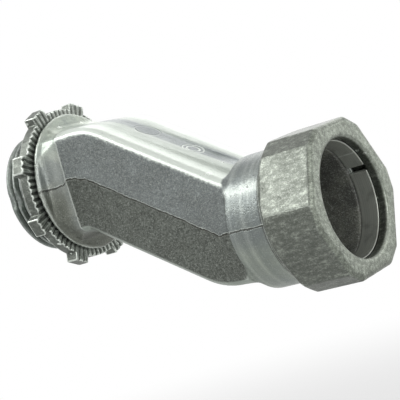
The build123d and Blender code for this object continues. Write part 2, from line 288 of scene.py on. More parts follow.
def centre_line():
    """The casting's centre line: its two ends and its two bends."""
    return (Vector((HUB_END, 0.0, 0.0)), Vector((sizes().first_bend, 0.0, 0.0)),
            Vector((sizes().second_bend, 0.0, CONDUIT_Z)), Vector((BODY_MOUTH, 0.0, CONDUIT_Z)))


def off_line(point, line):
    """How far a point lies from a line of several runs."""
    gaps = []
    for start, end in zip(line, line[1:]):
        run = end - start
        share = min(1.0, max(0.0, (point - start).dot(run) / run.length_squared))
        gaps.append((point - start - run * share).length)
    return min(gaps)


def slope_frame():
    """The directions along the casting's slope and square to it, upwards."""
    slope = math.atan2(-CONDUIT_Z, sizes().second_bend - sizes().first_bend)
    return Vector((math.cos(slope), 0.0, -math.sin(slope))), Vector((math.sin(slope), 0.0, math.cos(slope)))


def across(point, axis):
    """The part of a point that lies square to the X direction, measured from an axis along X."""
    return Vector((0.0, point.y - axis.y, point.z - axis.z))


# Meshes

def merged_copy(node):
    """A bmesh of a CAD node with its loose triangles joined."""
    shape = bmesh.new()
    shape.from_mesh(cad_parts[node].data)
    bmesh.ops.remove_doubles(shape, verts=shape.verts, dist=1e-6)
    return shape


def new_object(name, data):
    """An object in the scene that holds the given mesh, lamp or camera."""
    item = bpy.data.objects.new(name, data)
    bpy.context.scene.collection.objects.link(item)
    return item


def piece_from(shape, name, body, slot, materials, *nodes):
    """Turns a bmesh into a smooth piece that rides on a body and stands in for CAD nodes, if any."""
    bmesh.ops.recalc_face_normals(shape, faces=shape.faces)
    mesh = bpy.data.meshes.new(name)
    shape.to_mesh(mesh)
    shape.free()
    piece = new_object(name, mesh)
    for material in materials:
        mesh.materials.append(material)
    mesh.polygons.foreach_set("use_smooth", [True] * len(mesh.polygons))
    if nodes:
        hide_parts(*nodes)
    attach(piece, body)


def remeshed(shape, cell, passes):
    """The shape as a closed skin of small even faces, smoothed so that folds and roots are soft."""
    mesh = bpy.data.meshes.new("remesh_source")
    shape.to_mesh(mesh)
    shape.free()
    holder = new_object("remesh_source", mesh)
    remesh = holder.modifiers.new("Even skin", "REMESH")
    remesh.mode = "VOXEL"
    remesh.voxel_size = cell
    remesh.adaptivity = 0.0
    evaluated = holder.evaluated_get(bpy.context.evaluated_depsgraph_get())
    skin = bmesh.new()
    skin.from_mesh(bpy.data.meshes.new_from_object(evaluated))
    bpy.data.objects.remove(holder)
    for _ in range(passes):
        bmesh.ops.smooth_vert(skin, verts=skin.verts, factor=0.5,
                              use_axis_x=True, use_axis_y=True, use_axis_z=True)
    return skin


def set_radius(vert, axis, radius):
    """Moves a vertex square to the axis until it stands at a radius."""
    out = across(vert.co, axis)
    vert.co += out * (radius / out.length - 1.0)


def thread_coil(axis, pitch, start_x, end_x, base_r, crest_r, phase_x):
    """A right-handed thread of rounded 60 degree form, cut square at both ends."""
    steps = 96
    lift = crest_r - base_r
    half_base, half_crest = 0.42 * pitch, 0.09 * pitch
    half = ((half_base, -math.copysign(0.00012, lift)), (half_base, 0.06 * lift),
            (1.9 * half_crest, 0.86 * lift), (half_crest, lift))
    section = [(-along, up) for along, up in half] + list(reversed(half))
    first_turn = math.floor((start_x - phase_x) / pitch) - 1
    turns = math.ceil((end_x - start_x) / pitch) + 3
    coil = bmesh.new()
    loop = [coil.verts.new((phase_x + first_turn * pitch + along, axis.y, axis.z + base_r + up))
            for along, up in section]
    edges = [coil.edges.new((loop[i], loop[(i + 1) % len(loop)])) for i in range(len(loop))]
    bmesh.ops.spin(coil, geom=loop + edges, cent=axis, axis=ALONG, dvec=ALONG * (pitch / steps),
                   angle=2 * math.pi * turns, steps=steps * turns, use_duplicate=False)
    for x, direction in ((start_x, -1.0), (end_x, 1.0)):
        bmesh.ops.bisect_plane(coil, geom=coil.verts[:] + coil.edges[:] + coil.faces[:], dist=1e-7,
                               plane_co=(x, 0, 0), plane_no=ALONG * direction, clear_outer=True)
    bmesh.ops.holes_fill(coil, edges=[edge for edge in coil.edges if edge.is_boundary], sides=0)
    return coil


def lead_in(coil, axis, end_x, run, crest_r, base_r):
    """Tapers a thread's crests to four fifths of their height towards its end."""
    for vert in coil.verts:
        along = abs(vert.co.x - end_x)
        if along < run:
            limit = base_r + (crest_r - base_r) * (0.8 + 0.2 * along / run)
            if across(vert.co, axis).length > limit:
                set_radius(vert, axis, limit)


def parting_flats(coil, axis, half_height, reach):
    """The two flats along a cast thread, where the die's halves met."""
    for vert in coil.verts:
        if abs(vert.co.z - axis.z) < half_height and abs(vert.co.y) > reach:
            vert.co.y = math.copysign(reach, vert.co.y)


# Shader nodes

class NodeTree:
    """A short way to place nodes in a shader tree and to join them."""

    def __init__(self, tree):
        self.tree = tree

    def feed(self, node, name, value):
        """Joins a node's input, named or counted from 0, to an output, or sets its value."""
        if isinstance(value, bpy.types.NodeSocket):
            self.tree.links.new(value, node.inputs[name])
        else:
            node.inputs[name].default_value = value

    def add(self, kind, settings=None, **inputs):
        node = self.tree.nodes.new(kind)
        for name, value in (settings or {}).items():
            setattr(node, name, value)
        for name, value in inputs.items():
            self.feed(node, name.replace("_", " "), value)
        return node

    def counted(self, kind, settings, *values):
        """The outputs of a node whose inputs are given in their order."""
        node = self.add(kind, settings)
        for index, value in enumerate(values):
            self.feed(node, index, value)
        return node.outputs

    def maths(self, operation, *values, clamp=False):
        return self.counted("ShaderNodeMath", {"operation": operation, "use_clamp": clamp}, *values)[0]

    def vector_maths(self, operation, *values):
        return self.counted("ShaderNodeVectorMath", {"operation": operation}, *values)["Value"]

    def distance(self, first, second):
        """How far two coordinates lie from nought together."""
        return self.maths("SQRT", self.maths("ADD", self.times(first, first), self.times(second, second)))

    def ramp(self, value, low, high, out_low=0.0, out_high=1.0):
        """A smooth step from low to high."""
        node = self.add("ShaderNodeMapRange", {"interpolation_type": "SMOOTHSTEP"}, Value=value,
                        From_Min=low, From_Max=high, To_Min=out_low, To_Max=out_high)
        return node.outputs["Result"]

    def fall(self, value, low, high):
        """One below low, nothing above high."""
        return self.ramp(value, low, high, 1.0, 0.0)

    def near(self, value, place, half, soft):
        """One where a value lies within half of a place, fading over soft."""
        gap = self.maths("ABSOLUTE", self.maths("SUBTRACT", value, place))
        return self.fall(gap, half, half + soft)

    def times(self, first, *others):
        for other in others:
            first = self.maths("MULTIPLY", first, other)
        return first

    def mix(self, factor, first, second, blend="MIX"):
        node = self.add("ShaderNodeMix", {"data_type": "RGBA", "blend_type": blend})
        self.feed(node, 0, factor)
        for index, value in ((6, first), (7, second)):
            self.feed(node, index, value if isinstance(value, bpy.types.NodeSocket) else (*value, 1.0))
        return node.outputs[2]

    def shaded(self, colour, factors):
        return self.mix(1.0, colour, factors, "MULTIPLY")

    def coated(self, colour, *coats):
        """Lays tints over a colour in turn, each with its mask and the mask's share."""
        for mask, share, tint in coats:
            colour = self.mix(self.times(mask, share), colour, tint)
        return colour

    def noise(self, vector, scale, detail=3.0, roughness=0.55):
        node = self.add("ShaderNodeTexNoise", Vector=vector, Scale=scale, Detail=detail, Roughness=roughness)
        return node.outputs["Fac"]

    def axes(self, vector):
        return self.add("ShaderNodeSeparateXYZ", Vector=vector).outputs

    def vector(self, x, y, z):
        return self.add("ShaderNodeCombineXYZ", X=x, Y=y, Z=z).outputs["Vector"]

    def rays(self):
        """Whether a ray comes from the camera, and whether from a mirror-like surface."""
        path = self.add("ShaderNodeLightPath").outputs
        mirrored = self.maths("MAXIMUM", path["Is Glossy Ray"], path["Is Transmission Ray"])
        return path["Is Camera Ray"], mirrored


def new_group(name, inputs, outputs):
    """An empty shader node group and its helper; an input without a value is a vector."""
    group = bpy.data.node_groups.new(name, "ShaderNodeTree")
    for socket_name, value in inputs:
        kind = "NodeSocketVector" if value is None else "NodeSocketFloat"
        socket = group.interface.new_socket(name=socket_name, in_out="INPUT", socket_type=kind)
        if value is not None:
            socket.default_value = value
    for socket_name in outputs:
        group.interface.new_socket(name=socket_name, in_out="OUTPUT", socket_type="NodeSocketFloat")
    tree = NodeTree(group)
    return group, tree, group.nodes.new("NodeGroupInput"), group.nodes.new("NodeGroupOutput")


def use_group(tree, name, **inputs):
    """Places a group, made at its first use, in a tree with its own values, and gives its outputs."""
    group = bpy.data.node_groups.get(name) or GROUP_MAKERS[name](name)
    return tree.add("ShaderNodeGroup", {"node_tree": group}, **inputs).outputs


def cast_skin_group(name):
    """Die-cast skin: fine grain, pits, soft blotches and the sparkle of small crystal faces, a mask for
    painted glints.
    """
    group, tree, given, out = new_group(name, (("Vector", None), ("Grain", 1.0), ("Pits", 0.5)),
                                        ("Height", "Blotch", "Sparkle", "Pit", "Speck"))
    vector = given.outputs["Vector"]
    fine = tree.noise(vector, 3400.0, 4.0, 0.65)
    middle = tree.noise(vector, 1300.0, 3.0)
    cells = tree.add("ShaderNodeTexVoronoi", {"feature": "F1"}, Vector=vector, Scale=1150.0, Randomness=1.0)
    pit = tree.fall(cells.outputs["Distance"], 0.0, 0.24)
    pit = tree.times(pit, tree.ramp(tree.noise(vector, 620.0, 1.0), 0.52, 0.62))
    facets = tree.add("ShaderNodeTexVoronoi", {"feature": "F1"}, Vector=vector, Scale=5200.0, Randomness=1.0)
    split = tree.add("ShaderNodeSeparateColor", Color=facets.outputs["Color"])
    grain = tree.times(tree.maths("MULTIPLY_ADD", middle, 0.7, fine), given.outputs["Grain"])
    tree.feed(out, "Height", tree.maths("SUBTRACT", grain, tree.times(pit, given.outputs["Pits"])))
    tree.feed(out, "Blotch", tree.noise(vector, 210.0, 5.0, 0.6))
    # Sparkle: a mask of small facets that the finishes lay on bright, as painted glints
    tree.feed(out, "Sparkle", tree.ramp(split.outputs["Red"], 0.70, 0.98))
    tree.feed(out, "Pit", pit)
    tree.feed(out, "Speck", tree.ramp(fine, 0.34, 0.68))
    return group


def wear_and_shade_group(name):
    """Edges rubbed bright, which also stand in for painted edge highlights, and painted shade darkening the
    concave corners.
    """
    group, tree, given, out = new_group(name, (("Vector", None), ("Edge From", 0.53), ("Edge To", 0.62)),
                                        ("Edge", "Corner"))
    point = tree.add("ShaderNodeNewGeometry").outputs["Pointiness"]
    broken = tree.noise(given.outputs["Vector"], 900.0, 4.0, 0.7)
    edge = tree.ramp(point, given.outputs["Edge From"], given.outputs["Edge To"])
    tree.feed(out, "Edge", tree.times(edge, tree.ramp(broken, 0.25, 0.6, 0.35, 1.0)))
    # Painted shade: concave corners darkened where shade falls
    tree.feed(out, "Corner", tree.fall(point, 0.40, 0.475))
    return group


def pin_mark_group(name):
    """The round mark of an ejector pin: a ring groove about a centre, with a flat inside."""
    group, tree, given, out = new_group(name, (("Vector", None), ("Centre", None), ("Radius", 0.002)),
                                        ("Ring", "Inside"))
    span = tree.vector_maths("DISTANCE", given.outputs["Vector"], given.outputs["Centre"])
    off = tree.maths("SUBTRACT", span, given.outputs["Radius"])
    tree.feed(out, "Ring", tree.fall(tree.maths("ABSOLUTE", off), 0.00006, 0.00034))
    tree.feed(out, "Inside", tree.fall(off, -0.0002, 0.0001))
    return group


GROUP_MAKERS = {"Cast skin": cast_skin_group, "Handling wear": wear_and_shade_group, "Pin mark": pin_mark_group}


# Finishes

def metal(name, metallic):
    """An empty metal finish with its shader and Object coordinates."""
    material = bpy.data.materials.new(name)
    material.use_nodes = True
    tree = NodeTree(material.node_tree)
    shader = material.node_tree.nodes["Principled BSDF"]
    shader.inputs["Metallic"].default_value = metallic
    return material, tree, shader, tree.add("ShaderNodeTexCoord").outputs["Object"]


def feed_metal(tree, shader, colour, rough, height, relief):
    """Gives a metal's shader its colour, its roughness and its fine relief."""
    tree.feed(shader, "Base Color", colour)
    tree.feed(shader, "Roughness", rough)
    bump = tree.add("ShaderNodeBump", Height=height, Distance=relief)
    tree.feed(shader, "Normal", bump.outputs["Normal"])


def height_over_line(tree, place, z):
    """Height over the casting's bent centre line, square to each of its three runs."""
    square = slope_frame()[1]
    slanted = tree.vector_maths("DOT_PRODUCT", place, square)
    over_slope = tree.maths("SUBTRACT", slanted, sizes().first_bend * square.x)
    first_two = tree.maths("MAXIMUM", z, over_slope)
    return tree.maths("MINIMUM", first_two, tree.maths("SUBTRACT", z, CONDUIT_Z))


def casting_masks(tree, place):
    """Where the casting's halves, parting line, folds, crowns and round parts lie, and where its painted
    highlights and painted shade go.
    """
    size = sizes()
    axes = tree.axes(place)
    x, y, z = axes["X"], axes["Y"], axes["Z"]
    above = height_over_line(tree, place, z)
    wander = tree.maths("SUBTRACT", tree.noise(place, 330.0, 4.0, 0.65), 0.5)
    ragged = tree.maths("SUBTRACT", tree.noise(place, 1500.0, 3.0, 0.6), 0.5)
    line = tree.maths("MULTIPLY_ADD", wander, PARTING_WANDER, above)
    line = tree.maths("MULTIPLY_ADD", ragged, PARTING_RAGGED, line)
    dip = tree.times(tree.ramp(x, *DIP_BEGINS), tree.fall(x, *DIP_ENDS))
    line = tree.maths("MULTIPLY_ADD", dip, -PARTING_DIP, line)
    upper = tree.ramp(line, -0.00004, 0.00004)
    stretch = tree.times(tree.ramp(x, size.neck_end - 0.0003, size.neck_end + 0.0001),
                         tree.fall(x, size.collar_start - 0.0003, size.collar_start + 0.0004))
    out = tree.maths("SUBTRACT", tree.maths("ABSOLUTE", y), tree.times(upper, PARTING_STEP))
    crowned = tree.times(tree.fall(out, size.fold_out - 0.0003, size.fold_out - 0.0001), stretch)
    high = tree.ramp(above, *CROWN_BEGINS)
    fold = tree.maths("MULTIPLY_ADD", ragged, FOLD_RAGGED, out)
    ridge = tree.maths("MULTIPLY_ADD", ragged, RIDGE_RAGGED, x)
    return {
        "x": x, "y": y, "z": z,
        "upper": upper,
        "crowned": crowned,
        "turned": tree.maths("SUBTRACT", 1.0, stretch),
        # Painted shadow under the parting step, whose bump is the real groove, and a painted highlight on the
        # step's lip
        "seam": tree.near(line, *SEAM),
        "lip": tree.near(line, *LIP),
        # Painted highlight along the fold between side and crown, partly its bright flash
        "fold": tree.times(tree.near(fold, size.fold_out - 0.0003, 0.00010, 0.00014), stretch, high),
        # Painted highlight along the crown's edges
        "shine": tree.times(tree.ramp(out, *SHINE_BEGINS), crowned, high),
        # Painted highlight along the neck's ridge
        "ridge": tree.times(tree.near(ridge, size.neck_end, 0.00003, 0.00022), tree.ramp(out, *RIDGE_BEGINS)),
        # Painted shade under the neck
        "neck_low_shade": tree.times(tree.fall(x, *NECK_DARK_ENDS), tree.fall(above, *NECK_DARK_TOP)),
        # Painted highlight on the neck's top
        "neck_high": tree.times(tree.fall(x, *NECK_PALE_ENDS), tree.ramp(above, *NECK_PALE_BOTTOM)),
        "collar": tree.ramp(x, *COLLAR_BEGINS),
        # Painted light on the collar's lower side
        "collar_low": tree.times(tree.ramp(x, *COLLAR_PALE_BEGINS), tree.fall(above, *COLLAR_PALE_TOP)),
    }


def side_skin(tree, place, masks, skin):
    """The flat sides: blue-grey above the parting line; below it darker with painted shade, browner and
    rougher; painted glints on both.
    """
    looks = finishes()
    side = tree.mix(masks["upper"], looks.shaded_side_lower, looks.side_upper)
    mottle = tree.noise(place, 1900.0, 4.0, 0.75)
    roughness = tree.ramp(masks["upper"], 0.0, 1.0, 1.0, 0.45)
    for mask, factors in ((tree.ramp(skin["Blotch"], 0.34, 0.68, 0.0, 0.8), PALER_SKIN),
                          (tree.times(tree.ramp(mottle, 0.40, 0.50, 0.75, 0.0), roughness), DARK_SPOT),
                          (tree.times(tree.ramp(mottle, 0.54, 0.66, 0.0, 0.70), roughness), LIGHT_SPOT),
                          (tree.times(skin["Speck"], 0.60), FRECKLE)):
        side = tree.mix(mask, side, tree.shaded(side, factors))
    return tree.coated(side, (skin["Sparkle"], 0.13, looks.wear_and_highlight))


def crown_skin(tree, place, masks):
    """The crowned faces: streaks along the slope, a painted highlight at the edges and a painted blue-grey
    reflection band in the middle.
    """
    looks = finishes()
    run = tree.vector_maths("DOT_PRODUCT", place, slope_frame()[0])
    streaked = tree.vector(tree.times(run, 0.07), masks["y"], 0.0)
    wide = tree.noise(streaked, 520.0, 3.0, 0.6)
    fine = tree.noise(streaked, 2400.0, 3.0, 0.65)
    shifted = tree.maths("MULTIPLY_ADD", tree.maths("SUBTRACT", wide, 0.5), BAND_WANDER, masks["y"])
    return tree.coated(looks.crown,
                       (tree.near(shifted, *CROWN_REFLECTION_BAND), 0.90, looks.crown_reflection_band),
                       (tree.ramp(fine, 0.42, 0.66), 0.26, looks.crown_streak),
                       (tree.ramp(wide, 0.40, 0.62), 0.06, looks.wear_and_highlight),
                       (masks["shine"], 0.70, looks.wear_and_highlight))


def round_skin(tree, place, masks, skin):
    """Flange, neck and collar: painted bright and dark reflection hoops about their axis, one painted
    highlight smear, painted light on the neck's top and the collar's lower side, painted shade under the
    neck, painted bright and dark rims, and painted glints.
    """
    looks = finishes()
    size = sizes()
    x = masks["x"]
    colour = tree.mix(masks["collar"], tree.shaded(looks.turned, HUB_SIDE),
                      tree.shaded(looks.turned, COLLAR_SIDE))
    # Painted reflection: bright and dark hoops about the axis
    hoops = tree.noise(tree.vector(x, 0.0, tree.times(masks["z"], 0.06)), 420.0, 4.0, 0.55)
    colour = tree.coated(colour,
                         (tree.ramp(skin["Blotch"], 0.38, 0.64), 0.60, looks.turned_blotch),
                         (tree.ramp(hoops, 0.48, 0.64), 0.11, looks.wear_and_highlight),
                         (tree.fall(hoops, 0.34, 0.48), 0.45, looks.turned_reflection_hoop))
    # Painted light on the collar's lower side and a painted highlight on the neck's top
    for mask, factors in ((masks["collar_low"], LOW_COLLAR), (masks["neck_high"], HIGH_NECK)):
        colour = tree.coated(colour, (mask, 0.8, tree.shaded(colour, factors)))
    # Painted highlight: one bright smear across the collar
    strayed = tree.maths("SUBTRACT", tree.noise(place, 900.0, 3.0, 0.6), 0.5)
    smear = tree.near(tree.maths("MULTIPLY_ADD", strayed, SMEAR_RAGGED, masks["z"]), *SMEAR)
    return tree.coated(colour,
                       (masks["neck_low_shade"], 0.8, looks.neck_low_shade),
                       (tree.times(smear, masks["collar"]), 0.27, looks.wear_and_highlight),
                       # Painted highlight on the collar's end, painted shadow of the gap at the nut's lip,
                       # and a painted highlight on the flange's rim
                       (tree.near(x, size.collar_end - 0.00025, 0.00008, 0.00012), 0.60, looks.wear_and_highlight),
                       (tree.near(x, size.collar_end - 0.00060, 0.00006, 0.00012), 0.70, looks.residue_and_shade),
                       (tree.near(x, 0.00060, 0.00012, 0.00012), 0.45, looks.wear_and_highlight),
                       (skin["Sparkle"], 0.10, looks.wear_and_highlight))


def pin_mark(tree, place, start, radius):
    """One ejector pin's mark on the slope's upper face, a little over the crown's edges."""
    along, square = slope_frame()
    size = sizes()
    centre = Vector((size.first_bend, 0.0, 0.0)) + along * start + square * (size.shoulder_up + 0.0003)
    return use_group(tree, "Pin mark", Vector=place, Centre=tuple(centre), Radius=radius)


def casting_finish():
    """Cast zinc of the body: bright crowned faces, blue-grey sides, a darker half below the parting line
    partly painted as shade, painted highlights and shadows along its lines, and painted shade in its corners.
    """
    looks = finishes()
    material, tree, shader, place = metal("Body casting", 0.78)
    skin = use_group(tree, "Cast skin", Vector=place, Grain=1.0, Pits=0.9)
    wear = use_group(tree, "Handling wear", Vector=place, Edge_From=0.512, Edge_To=0.56)
    masks = casting_masks(tree, place)
    colour = tree.mix(masks["crowned"], side_skin(tree, place, masks, skin), crown_skin(tree, place, masks))
    colour = tree.mix(masks["turned"], colour, round_skin(tree, place, masks, skin))
    height = tree.maths("SUBTRACT", skin["Height"], tree.times(masks["seam"], 1.6))
    height = tree.maths("ADD", height, tree.times(masks["upper"], 1.1))
    # Each mark's ring is bumped in as a groove and laid with a painted highlight
    for start, radius, tint_share, rim_highlight_share in PIN_MARKS:
        mark = pin_mark(tree, place, start, radius)
        height = tree.maths("SUBTRACT", height, tree.times(mark["Ring"], 1.7))
        colour = tree.coated(colour, (mark["Inside"], tint_share, looks.pin_flat),
                             (mark["Ring"], rim_highlight_share, looks.wear_and_highlight))
    # Painted highlight on the parting lip, painted shadow in the seam, painted highlights along the fold and
    # the neck's ridge, residue in pits, painted corner shade, and edges rubbed bright that also stand in for
    # edge highlights
    colour = tree.coated(colour,
                         (masks["lip"], 0.50, looks.wear_and_highlight), (masks["seam"], 0.80, looks.residue_and_shade),
                         (masks["fold"], 0.80, looks.wear_and_highlight), (masks["ridge"], 0.40, looks.wear_and_highlight),
                         (skin["Pit"], 0.45, looks.residue_and_shade), (wear["Corner"], 0.55, looks.residue_and_shade),
                         (wear["Edge"], 0.55, looks.wear_and_highlight))
    rough = tree.maths("MULTIPLY_ADD", skin["Blotch"], 0.28, 0.30)
    rough = tree.maths("SUBTRACT", rough, tree.times(masks["crowned"], 0.12))
    rough = tree.maths("SUBTRACT", rough, tree.times(masks["turned"], 0.12))
    rough = tree.maths("SUBTRACT", rough, tree.times(wear["Edge"], 0.15), clamp=True)
    feed_metal(tree, shader, colour, rough, height, 0.00009)
    return material


def passage_finish():
    """Dull skin of the passage, socket and stop, painted darker as the shade inside the bore."""
    looks = finishes()
    material, tree, shader, place = metal("Passage skin", 0.25)
    skin = use_group(tree, "Cast skin", Vector=place, Grain=1.0, Pits=0.4)
    paler = tree.shaded(looks.passage, PASSAGE_BLOTCH)
    colour = tree.mix(tree.ramp(skin["Blotch"], 0.4, 0.65), looks.passage, paler)
    colour = tree.coated(colour, (skin["Speck"], 0.7, looks.residue_and_shade), (skin["Sparkle"], 0.20, looks.wear_and_highlight))
    feed_metal(tree, shader, colour, tree.maths("MULTIPLY_ADD", skin["Blotch"], 0.3, 0.42),
               skin["Height"], 0.00005)
    return material


def cast_finish(name, base, grain, specks, wear_and_highlight, roughness, edge, front_x=None):
    """Cast zinc of a smaller piece, from its own base colour, with painted glints, painted corner shade and
    edges rubbed bright that also stand in for edge highlights; a front face at front_x is paler.
    """
    looks = finishes()
    material, tree, shader, place = metal(name, 0.82)
    skin = use_group(tree, "Cast skin", Vector=place, Grain=grain, Pits=0.8)
    wear = use_group(tree, "Handling wear", Vector=place, Edge_From=edge[0], Edge_To=edge[1])
    drawn = tree.add("ShaderNodeMapping", {"vector_type": "POINT"}, Vector=place, Scale=DRAWN)
    mottle = tree.noise(drawn.outputs["Vector"], 1250.0, 5.0, 0.72)
    colour = tree.mix(tree.ramp(skin["Blotch"], 0.30, 0.70, 0.25, 0.60),
                      tree.shaded(base, LIGHT_CAST), tree.shaded(base, DARK_CAST))
    colour = tree.coated(colour, (skin["Speck"], specks, tree.shaded(base, CAST_FRECKLE)),
                         (skin["Sparkle"], specks * 0.3, looks.wear_and_highlight))
    if front_x:
        front = tree.ramp(tree.axes(place)["X"], front_x - 0.0009, front_x - 0.0005)
        colour = tree.mix(front, colour, tree.shaded(colour, FRONT_FACE))
    # Dark flecks, painted glints, residue in pits, painted corner shade, and edges rubbed bright that also
    # stand in for edge highlights
    colour = tree.coated(colour,
                         (tree.fall(mottle, 0.40, 0.52), 0.55 * grain, tree.shaded(base, FRECKLE)),
                         (tree.ramp(mottle, 0.54, 0.66), 0.55 * grain, tree.shaded(base, CAST_SPARKLE)),
                         (skin["Pit"], 0.5, looks.residue_and_shade), (wear["Corner"], 0.7, looks.residue_and_shade),
                         (wear["Edge"], wear_and_highlight, looks.wear_and_highlight))
    rough = tree.maths("MULTIPLY_ADD", skin["Blotch"], 0.25, roughness - 0.12)
    rough = tree.maths("SUBTRACT", rough, tree.times(wear["Edge"], 0.12), clamp=True)
    feed_metal(tree, shader, colour, rough, tree.maths("ADD", skin["Height"], mottle), 0.00005)
    return material


def ring_finish():
    """Turned steel of the split ring: fine rings about the conduit's axis."""
    looks = finishes()
    material, tree, shader, place = metal("Ring steel", 0.55)
    axes = tree.axes(place)
    reach = tree.distance(axes["Y"], tree.maths("SUBTRACT", axes["Z"], CONDUIT_Z))
    turned = tree.noise(tree.vector(axes["X"], reach, 0.0), 9000.0, 3.0, 0.6)
    skin = use_group(tree, "Cast skin", Vector=place, Grain=0.5, Pits=0.2)
    wear = use_group(tree, "Handling wear", Vector=place)
    colour = tree.mix(tree.ramp(turned, 0.35, 0.65), looks.ring, tree.shaded(looks.ring, TURNED_STEEL))
    colour = tree.coated(colour, (tree.ramp(skin["Blotch"], 0.50, 0.70), 0.5, looks.ring_stain),
                         (wear["Edge"], 0.6, looks.wear_and_highlight))
    feed_metal(tree, shader, colour, tree.maths("MULTIPLY_ADD", turned, 0.25, 0.2), turned, 0.00002)
    return material


def floor_finish():
    """Plain pale floor that goes white far from the object, for the camera and for mirror-like surfaces."""
    material = bpy.data.materials.new("Pale floor")
    material.use_nodes = True
    tree = NodeTree(material.node_tree)
    nodes = material.node_tree.nodes
    nodes.remove(nodes["Principled BSDF"])
    axes = tree.axes(tree.add("ShaderNodeTexCoord").outputs["Object"])
    away = tree.distance(axes["X"], axes["Y"])
    seen, mirrored = tree.rays()
    share = tree.maths("MAXIMUM", tree.times(tree.ramp(away, 0.09, 0.30), seen),
                       tree.times(tree.ramp(away, 0.40, 0.90), mirrored))
    matt = tree.add("ShaderNodeBsdfDiffuse", Color=(*finishes().floor, 1.0))
    white = tree.add("ShaderNodeEmission", Color=(1.0, 1.0, 1.0, 1.0), Strength=1.0)
    blend = tree.counted("ShaderNodeMixShader", {}, share, matt.outputs[0], white.outputs[0])
    tree.feed(nodes["Material Output"], "Surface", blend[0])
    return material


# Stage

def aim_camera(studio):
    """The camera at the photograph's viewing angle."""
    azimuth, elevation, roll = studio.azimuth, studio.elevation, studio.roll
    back = Vector((math.sin(azimuth) * math.cos(elevation), -math.cos(azimuth) * math.cos(elevation),
                   math.sin(elevation)))
    right = (-back).cross(Vector((0.0, 0.0, 1.0))).normalized()
    up = right.cross(-back)
    turned_right = right * math.cos(roll) - up * math.sin(roll)
    turned_up = right * math.sin(roll) + up * math.cos(roll)
    data = bpy.data.cameras.new("Camera")
    data.lens = studio.focal
    data.sensor_width = SENSOR_WIDTH
    data.sensor_fit = "HORIZONTAL"
    data.clip_start = 0.01
    data.clip_end = 50.0
    camera = new_object("Camera", data)
    eye = VIEW_MIDDLE + turned_right * EYE_RIGHT + turned_up * EYE_UP + back * studio.distance
    camera.matrix_world = Matrix((turned_right, turned_up, back)).transposed().to_4x4()
    camera.matrix_world.translation = eye
    bpy.context.scene.camera = camera


def softbox(name, place, side, power):
    """A square area lamp turned towards the view's middle."""
    data = bpy.data.lights.new(name, "AREA")
    data.shape = "SQUARE"
    data.size = side
    data.energy = power
    lamp = new_object(name, data)
    lamp.location = VIEW_MIDDLE + place
    lamp.rotation_mode = "QUATERNION"
    lamp.rotation_quaternion = (-place).to_track_quat("-Z", "Y")


def surroundings(strength):
    """White to the eye and in reflections, and a plain soft grey for the rest of the light."""
    world = bpy.data.worlds.new("Plain surroundings")
    bpy.context.scene.world = world
    world.use_nodes = True
    tree = NodeTree(world.node_tree)
    brightness = tree.add("ShaderNodeMapRange", {"interpolation_type": "LINEAR"},
                          Value=tree.maths("MAXIMUM", *tree.rays()), To_Min=strength, To_Max=1.0)
    background = world.node_tree.nodes["Background"]
    background.inputs["Color"].default_value = (1.0, 1.0, 1.0, 1.0)
    tree.feed(background, "Strength", brightness.outputs["Result"])


class CONNECTOR_OT_stage(bpy.types.Operator):
    """Make the camera, the lamps, the surroundings and the floor"""
    bl_idname = "connector.stage"
    bl_label = "Stage"

    def execute(self, context):
        studio = context.scene.connector_studio
        low, high = (Vector(corner) for corner in CAD_BOUNDS)
        aim_camera(studio)
        for name, place, side, power in SOFTBOXES:
            softbox(name, Vector(place), side, getattr(studio, power))
        surroundings(studio.ambient)
        shape = bmesh.new()
        bmesh.ops.create_circle(shape, cap_ends=True, segments=96, radius=FLOOR_RADIUS)
        mesh = bpy.data.meshes.new("Floor")
        centre = (low + high) / 2
        bmesh.ops.translate(shape, verts=shape.verts, vec=(centre.x, centre.y, low.z - studio.floor_drop))
        shape.to_mesh(mesh)
        shape.free()
        floor = new_object("Floor", mesh)
        mesh.materials.append(floor_finish())
        context.scene.view_settings.view_transform = "Standard"
        return {"FINISHED"}


# Pieces

def clear_thread_zones(shape, size):
    """Brings the hub and the gland down to the roots of the threads that go round them."""
    rim_proud, rim_back, inner_back = 0.00003, 0.00016, 0.0002
    for vert in shape.verts:
        on_hub = across(vert.co, HUB_AXIS).length
        on_gland = across(vert.co, CONDUIT_AXIS).length
        if vert.co.x < TOUCH and size.hub_root < on_hub < size.hub_crest + TOUCH:
            set_radius(vert, HUB_AXIS, size.hub_root)
        elif vert.co.x > BODY_MOUTH - TOUCH:
            on_rim = on_gland > size.mouth_rim
            set_radius(vert, CONDUIT_AXIS, size.gland_root + (rim_proud if on_rim else 0.0))
            vert.co.x -= rim_back if on_rim else inner_back
        elif vert.co.x > size.collar_end - TOUCH and size.gland_root < on_gland < size.gland_crest + TOUCH:
            set_radius(vert, CONDUIT_AXIS, size.gland_root)


def settle_crown(shape, size):
    """Flattens the crowned faces and fills the solid's own pin marks; the finish has the photograph's."""
    along, square = slope_frame()
    bend = Vector((size.first_bend, 0.0, 0.0))
    for vert in shape.verts:
        out = abs(vert.co.y) / size.crown_half
        over_slope = (vert.co - bend).dot(square)
        if abs(over_slope - size.mark_floor) < TOUCH:
            before = max(0.0, size.bend_run - (vert.co - bend).dot(along))
            fallen = before * before / (2.0 * size.bend_round) + size.crown_rise * out * out
            vert.co += square * max(0.0, size.mark_depth - fallen)
        height = min(max(vert.co.z, over_slope), vert.co.z - CONDUIT_Z)
        if size.neck_end < vert.co.x < size.collar_start and out < 1.0 and abs(height) > size.crown_from:
            inside = min(vert.co.x - size.first_bend, size.second_bend - vert.co.x) / size.bend_blend
            steeper = 1.0 + (1.0 / along.x - 1.0) * min(max(inside, 0.0), 1.0)
            drop = size.crown_rise * (1.0 - size.crown_share) * (1.0 - out * out) * steeper
            vert.co.z -= math.copysign(drop, height)


